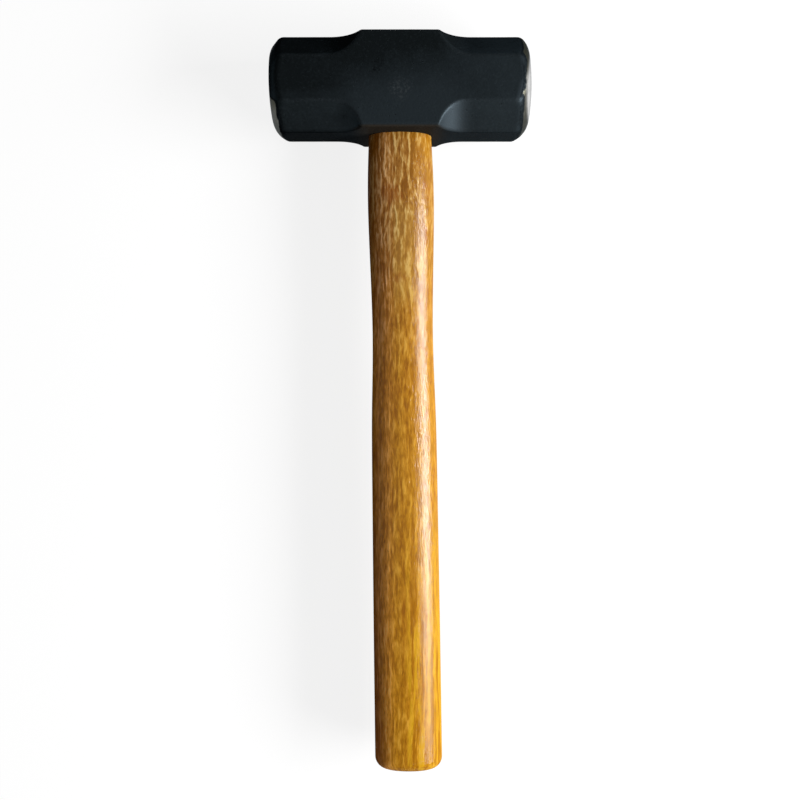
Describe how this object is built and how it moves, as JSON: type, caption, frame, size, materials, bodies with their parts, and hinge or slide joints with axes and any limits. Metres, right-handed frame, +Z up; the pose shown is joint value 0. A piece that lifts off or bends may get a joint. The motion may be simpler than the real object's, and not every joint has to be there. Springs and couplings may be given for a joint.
{
  "type": "club hammer",
  "caption": "Double-faced club hammer: a black octagonal steel head with bare crowned striking faces, wedged on an oval varnished wooden handle.",
  "frame": {"origin": "on the cheek of the head that the hammer lies on, straight under the middle of the head and of the eye", "axes": "+X along the head, towards one striking face; +Y along the handle, out through the top of the head, so the butt is at -Y; +Z up, out of the cheek that faces away from the surface"},
  "size_m": [0.13, 0.3635, 0.047],
  "materials": {
    "black_steel": "satin",
    "varnished_wood": "gloss",
    "wedge_wood": "satin",
    "wedge_steel": "satin"
  },
  "bodies": {
    "root": {"head": "black_steel", "handle": "varnished_wood", "wood_wedge": "wedge_wood", "steel_wedge_left": "wedge_steel", "steel_wedge_right": "wedge_steel"}
  },
  "joints": []
}
